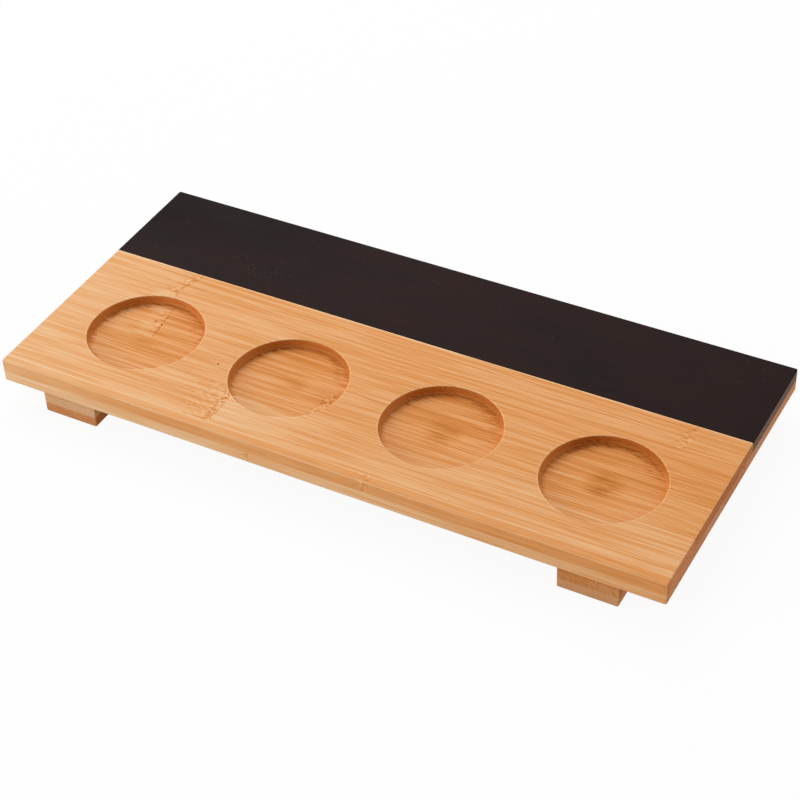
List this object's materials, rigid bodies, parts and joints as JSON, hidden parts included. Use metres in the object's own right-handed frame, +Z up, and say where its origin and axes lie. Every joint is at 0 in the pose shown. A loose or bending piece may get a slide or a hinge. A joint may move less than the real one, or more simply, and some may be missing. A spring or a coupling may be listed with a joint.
{
  "type": "wine tasting tray",
  "caption": "Low rectangular bamboo tray with a row of round recesses for the feet of tasting glasses, a black writing panel along the back and runner feet underneath.",
  "frame": {"origin": "on the table under the middle of the tray", "axes": "+X along the tray to the right as seen from the front, +Y to the back, where the writing panel is, +Z up"},
  "size_m": [0.4, 0.184, 0.028],
  "materials": {
    "deck_bamboo": "satin",
    "base_bamboo": "satin",
    "foot_bamboo": "satin",
    "hardboard": "matte",
    "writing_black": "matte"
  },
  "bodies": {
    "root": {"top_slat_1": "deck_bamboo", "top_slat_2": "deck_bamboo", "top_slat_3": "deck_bamboo", "top_slat_4": "deck_bamboo", "top_slat_5": "deck_bamboo", "base_slat_1": "base_bamboo", "base_slat_2": "base_bamboo", "base_slat_3": "base_bamboo", "base_slat_4": "base_bamboo", "base_slat_5": "base_bamboo", "base_slat_6": "base_bamboo", "base_slat_7": "base_bamboo", "panel_core": "hardboard", "writing_sheet": "writing_black", "left_foot_sole": "foot_bamboo", "left_foot_slat_1": "foot_bamboo", "left_foot_slat_2": "foot_bamboo", "right_foot_sole": "foot_bamboo", "right_foot_slat_1": "foot_bamboo", "right_foot_slat_2": "foot_bamboo"}
  },
  "joints": []
}
